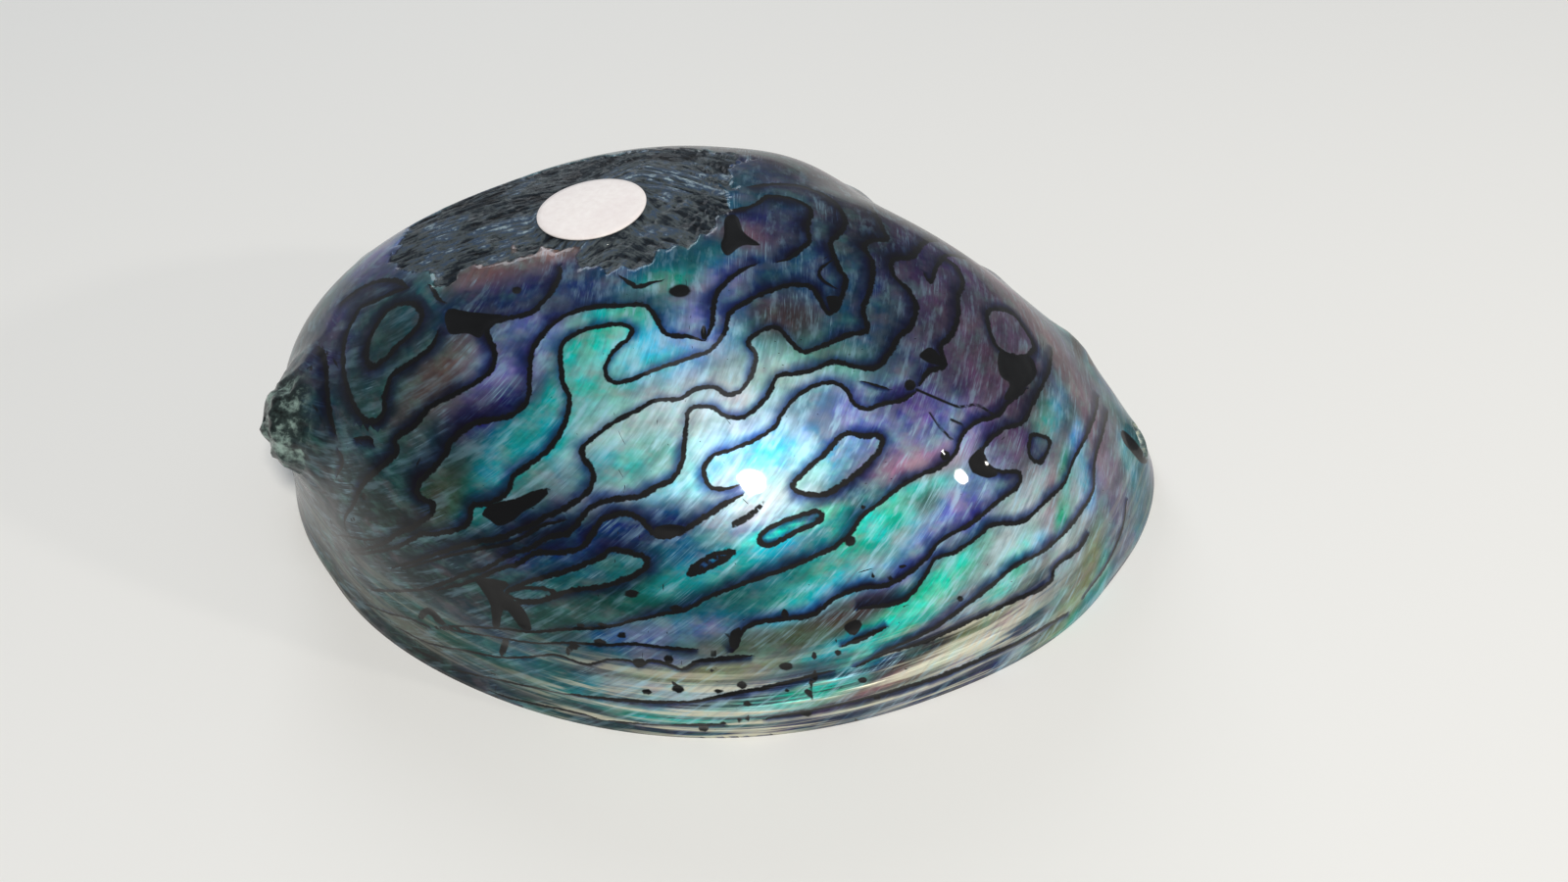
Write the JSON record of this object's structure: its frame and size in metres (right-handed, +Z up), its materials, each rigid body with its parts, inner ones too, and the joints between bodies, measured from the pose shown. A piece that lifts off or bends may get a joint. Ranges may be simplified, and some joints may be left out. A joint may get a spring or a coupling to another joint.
{
  "type": "paua abalone shell",
  "caption": "Polished paua abalone shell, an oval hollow dome lying mouth down, with a coiled spire at one end, a row of pores along one side and a plain round paper label on its crest.",
  "frame": {"origin": "centre of the object's plan box, in the plane it rests on, mouth down", "axes": "+X along the shell from the spire end to the growing end, +Y towards the side of the pore row, +Z up from the mouth to the crest"},
  "size_m": [0.1635, 0.1127, 0.0563],
  "materials": {
    "paua_nacre": "polished iridescent nacre, blue, green and violet, with thin dark growth lines under a clear gloss",
    "label_paper": "plain pale paper, slightly satin"
  },
  "bodies": {
    "root": {"shell": "paua_nacre", "label": "label_paper"}
  },
  "joints": []
}
